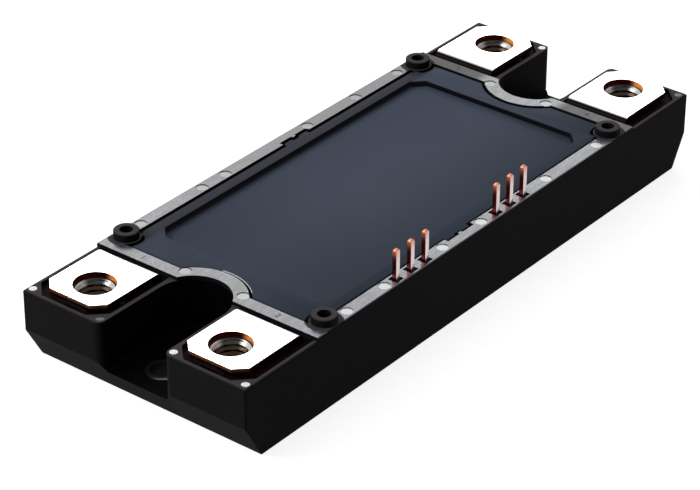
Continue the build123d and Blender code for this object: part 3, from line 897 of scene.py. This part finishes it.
def ejectorDisc(name, x, y, finish):
    look = discLook
    count = look["steps"]
    points = [(x, y, look["height"] + look["crown"])]
    for radiusShare, crownShare in look["rings"]:
        radius = radiusShare * look["radius"]
        height = look["height"] + crownShare * look["crown"]
        for step in range(count):
            angle = 2 * math.pi * step / count
            points.append((x + radius * math.cos(angle), y + radius * math.sin(angle), height))
    faces = [(0, 1 + step, 1 + (step + 1) % count) for step in range(count)]
    for band in range(1, len(look["rings"])):
        outer = 1 + band * count
        faces += ringBand(outer, outer - count, count)
    disc = meshPiece(name, points, faces, finish)
    for face in disc.data.polygons:
        face.use_smooth = True
    return disc


discFinishes = {kind: discFinish(kind) for kind in ("bright", "dull")}
for name, (end, side, row, kind) in discPlaces.items():
    disc = ejectorDisc(name, end * discLook["endX"], side * discLook[row], discFinishes[kind])
    ridingPiece(disc, "housing_plastic")
print("ejector discs placed:", len(discPlaces))


# Plain terminal numbers, printed small on the end rails

numberLook = {
    "ink": (0.010, 0.010, 0.012),
    "faded": (0.03, 0.03, 0.033),
    "roughness": 0.5,
    "specular": 0.2,
    "fade": 0.3 * mm,
    "fadeShade": 0.5,
    "fadeRoughness": 0.2,
    "size": 2.0 * mm,
    "lift": 0.02 * mm,
    "height": 17.8 * mm,
    "x": 52.8 * mm,
    "y": 17.5 * mm,
}

# number: end and side of its terminal
numberPlaces = {"1": (-1, 1), "2": (-1, -1), "3": (1, 1), "4": (1, -1)}


def inkFinish():
    look = numberLook
    finish = newFinish("number_ink_look")
    fade = finish.noise(look["fade"], detail=2.0)
    return finish.close(finish.surface({
        "Base Color": finish.mix(look["fadeShade"] * fade, look["ink"], look["faded"]),
        "Roughness": look["roughness"] + look["fadeRoughness"] * fade,
        "Specular IOR Level": look["specular"],
    }))


def printedNumber(text, x, y, finish):
    look = numberLook
    curve = bpy.data.curves.new("number_" + text, "FONT")
    curve.body = text
    curve.size = look["size"]
    curve.align_x = "CENTER"
    curve.align_y = "CENTER"
    writing = inScene("number_writing", curve)
    bpy.context.view_layer.update()
    graph = bpy.context.evaluated_depsgraph_get()
    mesh = bpy.data.meshes.new_from_object(writing.evaluated_get(graph))
    bpy.data.objects.remove(writing)
    spot = Matrix.Translation((x, y, look["height"] + look["lift"]))
    mesh.transform(spot @ Matrix.Rotation(-math.pi / 2, 4, "Z"))
    mesh.materials.clear()
    mesh.materials.append(finish)
    return inScene("terminal_number_" + text, mesh)


numberInk = inkFinish()
for text, (end, side) in numberPlaces.items():
    number = printedNumber(text, end * numberLook["x"], side * numberLook["y"], numberInk)
    ridingPiece(number, "housing_plastic")
print("terminal numbers printed")


# Studio: pale floor, white background, soft boxes behind and overhead, and a fill from the left

studio = {
    "floorSize": 6.0,
    "floorDrop": 0.05 * mm,
    "floorAlbedo": 0.4,
    "floorGlow": 0.80,
    "ambient": 0.42,
    "ceiling": 0.45,
    "ceilingStart": (0.65, 0.95),
}

# heading and elevation in degrees, distance and size in metres, power in watts
lamps = {
    "soft_box_behind": {
        "heading": 42.0, "elevation": 33.0, "distance": 1.4, "size": 0.8, "power": 5.0,
    },
    "soft_box_overhead": {
        "heading": 60.0, "elevation": 76.0, "distance": 1.5, "size": 1.0, "power": 4.0,
    },
    "fill_from_left": {
        "heading": 138.0, "elevation": 36.0, "distance": 1.5, "size": 0.6, "power": 13.0,
    },
}


def seenDirectly(finish):
    # 1 for camera, glossy and transmission rays
    def ray(kind):
        return finish.node("ShaderNodeLightPath", {}, {}, kind)
    either = finish.math("MAXIMUM", ray("Is Camera Ray"), ray("Is Glossy Ray"))
    return finish.math("MAXIMUM", either, ray("Is Transmission Ray"))


def makeFloor():
    half = studio["floorSize"] / 2
    points = [(-half, -half, 0), (half, -half, 0), (half, half, 0), (-half, half, 0)]
    finish = newFinish("floor_look")
    paint = finish.node("ShaderNodeBsdfDiffuse", {}, {"Color": (studio["floorAlbedo"],) * 3})
    glow = finish.node("ShaderNodeEmission", {}, {
        "Color": white,
        "Strength": studio["floorGlow"] * seenDirectly(finish),
    })
    both = finish.node("ShaderNodeAddShader", {}, {0: paint, 1: glow})
    floor = meshPiece("studio_floor", points, [(0, 1, 2, 3)], finish.close(both))
    floor.location.z = cadBounds[0][2] - studio["floorDrop"]


def makeWorld():
    world = bpy.data.worlds.new("studio_world")
    bpy.context.scene.world = world
    finish = Finish(world, "Generated")
    overhead = finish.rise(finish.place("Z"), *studio["ceilingStart"])
    glow = (1.0 - studio["ceiling"] * overhead) * seenDirectly(finish)
    sky = finish.node("ShaderNodeBackground", {}, {
        "Color": white,
        "Strength": finish.math("MAXIMUM", glow, studio["ambient"]),
    })
    finish.close(sky, "ShaderNodeOutputWorld")


def headingVector(heading, elevation):
    heading, elevation = math.radians(heading), math.radians(elevation)
    level = math.cos(elevation)
    return Vector((level * math.cos(heading), level * math.sin(heading), math.sin(elevation)))


def makeLamp(name):
    look = lamps[name]
    data = bpy.data.lights.new(name, "AREA")
    data.shape = "DISK"
    data.size = look["size"]
    data.energy = look["power"]
    lamp = inScene(name, data)
    outward = headingVector(look["heading"], look["elevation"])
    lamp.location = outward * look["distance"]
    lamp.rotation_euler = outward.to_track_quat("Z", "Y").to_euler()


makeFloor()
makeWorld()
for name in lamps:
    makeLamp(name)
print("studio ready")


# Camera at the photograph's angle

cameraLook = {
    "aim": Vector((-2.24, 4.70, 1.95)) * mm,
    "heading": -141.716,
    "elevation": 30.755,
    "roll": 0.205,
    "distance": 618.5 * mm,
    "lens": 149.86,
    "sensor": 36.0,
    "clipStart": 10 * mm,
}


def makeCamera():
    look = cameraLook
    back = headingVector(look["heading"], look["elevation"])
    levelRight = Vector((0, 0, 1)).cross(back).normalized()
    levelUp = back.cross(levelRight)
    roll = math.radians(look["roll"])
    right = math.cos(roll) * levelRight + math.sin(roll) * levelUp
    up = back.cross(right)
    data = bpy.data.cameras.new("camera")
    data.lens = look["lens"]
    data.sensor_width = look["sensor"]
    data.sensor_fit = "HORIZONTAL"
    data.clip_start = look["clipStart"]
    camera = inScene("camera", data)
    turn = Matrix((right, up, back)).transposed().to_4x4()
    camera.matrix_world = Matrix.Translation(look["aim"] + back * look["distance"]) @ turn
    bpy.context.scene.camera = camera


makeCamera()
bpy.context.scene.view_settings.view_transform = "Standard"
print("camera ready")
